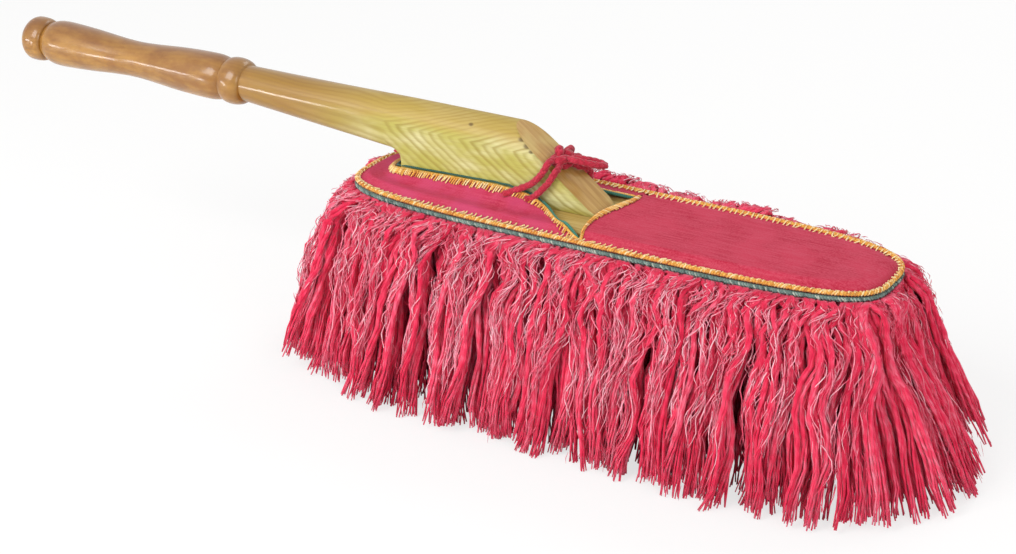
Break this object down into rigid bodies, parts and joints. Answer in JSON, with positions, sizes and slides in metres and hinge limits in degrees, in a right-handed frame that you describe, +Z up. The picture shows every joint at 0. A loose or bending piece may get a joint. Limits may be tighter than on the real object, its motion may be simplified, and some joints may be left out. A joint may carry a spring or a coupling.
{
  "type": "car duster",
  "caption": "Car duster: a turned wooden handle ends in a wedge-shaped board, tied into a red cloth pocket with an overlocked edge and a deep fringe of crimson yarn.",
  "frame": {"origin": "on the floor, on the flat underside of the yarn, under the middle of the mop head", "axes": "+X from the handle towards the mop head's free end, +Z up, -Y the near side of the picture"},
  "size_m": [0.7218, 0.1936, 0.182],
  "materials": {
    "varnished_wood": "clear gloss varnish",
    "bare_wood": "sanded, bare",
    "steel": "plain",
    "cloth": "fine weave with a soft sheen",
    "yellow_thread": "sewn thread",
    "green_thread": "sewn thread",
    "yarn": "matt twisted yarn",
    "string": "twisted string"
  },
  "bodies": {
    "mop_and_handle": {"handle": "varnished_wood", "base_board": "bare_wood", "base_screw_1": "steel", "base_screw_2": "steel", "base_screw_3": "steel", "rear_cover": "cloth", "front_cover": "cloth", "backing_cloth": "cloth", "edge_thread_upper": "yellow_thread", "edge_thread_lower": "green_thread", "rear_mouth_thread": "yellow_thread", "front_mouth_thread": "yellow_thread", "inner_yarn_pad": "yarn", "tie_string_near_a": "string", "tie_string_near_b": "string", "tie_string_far_a": "string", "tie_string_far_b": "string", "bow_knot": "string", "bow_loop": "string", "bow_tail": "string"},
    "near_fringe": {"fringe_near": "yarn"},
    "far_fringe": {"fringe_far": "yarn"},
    "front_fringe": {"fringe_front": "yarn"},
    "rear_fringe": {"fringe_rear": "yarn"}
  },
  "joints": [
    {"name": "near_fringe_swing", "type": "hinge", "parent": "mop_and_handle", "child": "near_fringe", "pos_m": [0, -0.0437, 0.1185], "axis": [-1, 0, 0], "range_deg": [0, 40]},
    {"name": "far_fringe_swing", "type": "hinge", "parent": "mop_and_handle", "child": "far_fringe", "pos_m": [0, 0.0437, 0.1185], "axis": [1, 0, 0], "range_deg": [0, 40]},
    {"name": "front_fringe_swing", "type": "hinge", "parent": "mop_and_handle", "child": "front_fringe", "pos_m": [0.1847, 0, 0.1185], "axis": [0, -1, 0], "range_deg": [0, 40]},
    {"name": "rear_fringe_swing", "type": "hinge", "parent": "mop_and_handle", "child": "rear_fringe", "pos_m": [-0.1847, 0, 0.1185], "axis": [0, 1, 0], "range_deg": [0, 40]}
  ]
}
